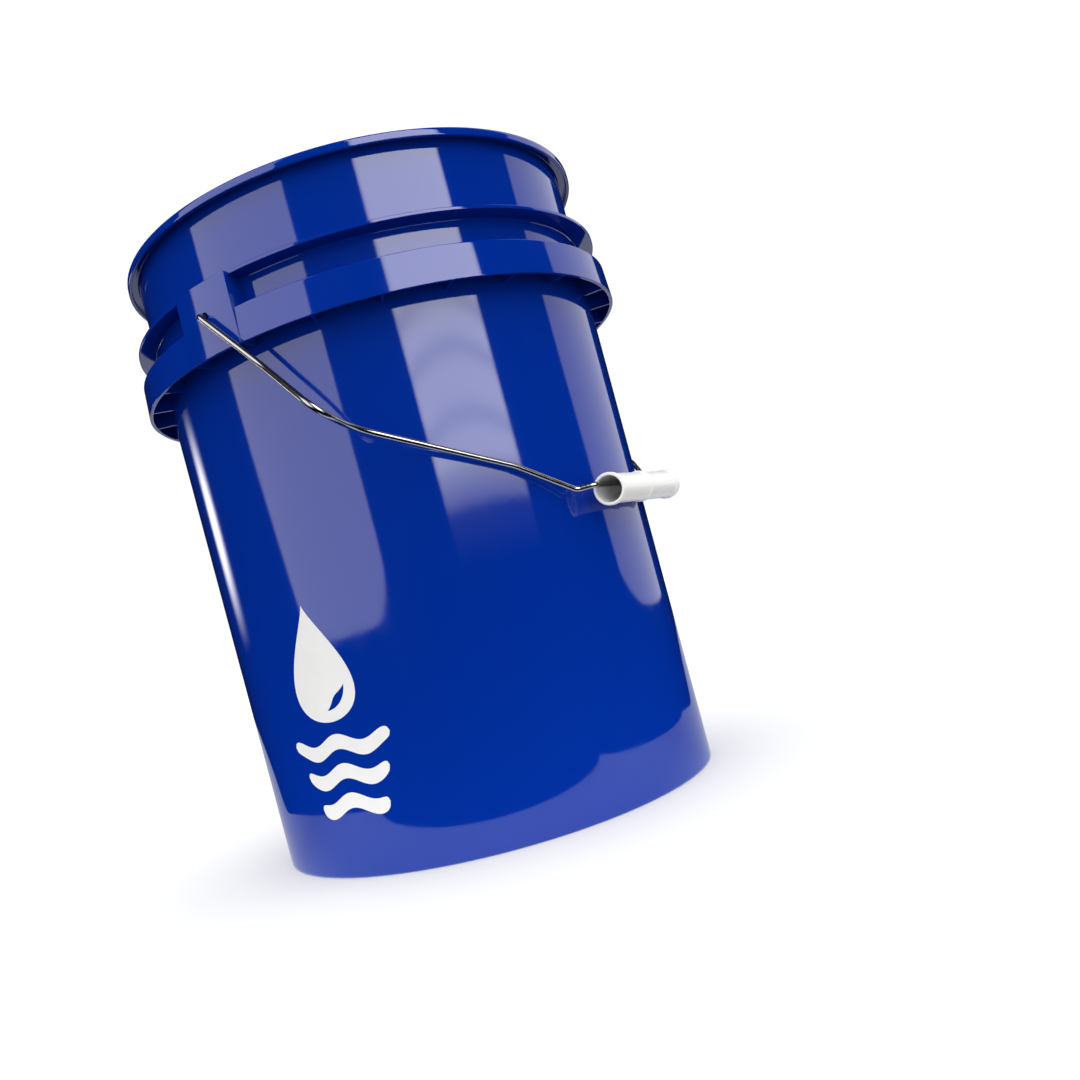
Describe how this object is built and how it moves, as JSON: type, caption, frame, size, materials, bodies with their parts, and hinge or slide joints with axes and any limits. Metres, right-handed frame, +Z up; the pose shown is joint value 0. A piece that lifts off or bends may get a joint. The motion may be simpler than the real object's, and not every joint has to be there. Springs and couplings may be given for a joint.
{
  "type": "wash bucket",
  "caption": "Tapered round plastic pail with a wire bail, a turning hand grip and a lift-out grit guard for washing a car.",
  "frame": {"origin": "centre of the pail's foot ring, on the surface the pail stands on", "axes": "+Z up the pail's axis; the two ears that carry the bail are on +X and -X; the bail hangs towards -Y"},
  "size_m": [0.342, 0.3062, 0.368],
  "materials": {
    "pail_plastic": "glossy royal blue moulded plastic",
    "guard_plastic": "satin violet-blue moulded plastic",
    "bright_wire": "bright zinc-plated drawn steel wire",
    "grip_plastic": "satin white moulded plastic"
  },
  "bodies": {
    "pail": {"pail": "pail_plastic"},
    "bail": {"bail": "bright_wire"},
    "grip": {"hand_grip": "grip_plastic"},
    "guard": {"grit_guard": "guard_plastic"}
  },
  "joints": [
    {"name": "bail_hinge", "type": "hinge", "parent": "pail", "child": "bail", "pos_m": [0, 0, 0.3035], "axis": [-1, 0, 0], "range_deg": [0, 268]},
    {"name": "grip_turn", "type": "hinge", "parent": "bail", "child": "grip", "pos_m": [0, -0.1453, 0.1619], "axis": [1, 0, 0], "continuous": true},
    {"name": "guard_lift", "type": "slide", "parent": "pail", "child": "guard", "axis": [0, 0, 1], "range_m": [0, 0.4]}
  ]
}
